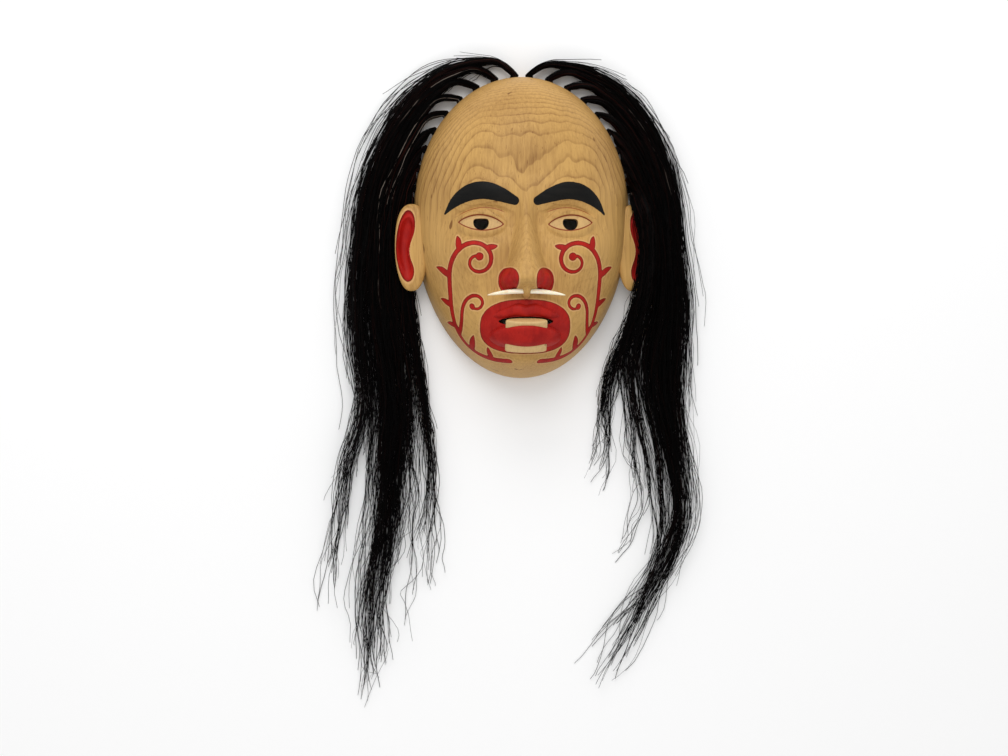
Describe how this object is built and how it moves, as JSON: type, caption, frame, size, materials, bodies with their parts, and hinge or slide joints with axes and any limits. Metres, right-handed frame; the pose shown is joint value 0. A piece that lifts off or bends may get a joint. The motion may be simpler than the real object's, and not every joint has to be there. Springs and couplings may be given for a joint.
{
  "type": "carved face mask",
  "caption": "Hollow carved wooden face mask with painted scrollwork, pierced eyes, a bone nose pin, a wooden lip plug and long black hair pegged round its edge.",
  "frame": {"origin": "under the middle of the whole part's box, on the surface that it lies on", "axes": "+Z out of the face; +Y to the top of the head; +X to the right of someone who looks at the face"},
  "size_m": [0.2922, 0.516, 0.1007],
  "materials": {
    "carved_wood": "smooth, carved with the grain showing, with red and black paint",
    "plug_wood": "plain, pale and smooth",
    "bone": "polished bone",
    "hair": "glossy straight hair"
  },
  "bodies": {
    "root": {"carved_face": "carved_wood", "lip_plug": "plug_wood", "nose_pin": "bone", "hair_lock_left_1": "hair", "hair_lock_left_2": "hair", "hair_lock_left_3": "hair", "hair_lock_left_4": "hair", "hair_lock_left_5": "hair", "hair_lock_left_6": "hair", "hair_lock_left_7": "hair", "hair_lock_left_8": "hair", "hair_lock_left_9": "hair", "hair_lock_right_1": "hair", "hair_lock_right_2": "hair", "hair_lock_right_3": "hair", "hair_lock_right_4": "hair", "hair_lock_right_5": "hair", "hair_lock_right_6": "hair", "hair_lock_right_7": "hair", "hair_lock_right_8": "hair", "hair_lock_right_9": "hair"}
  },
  "joints": []
}
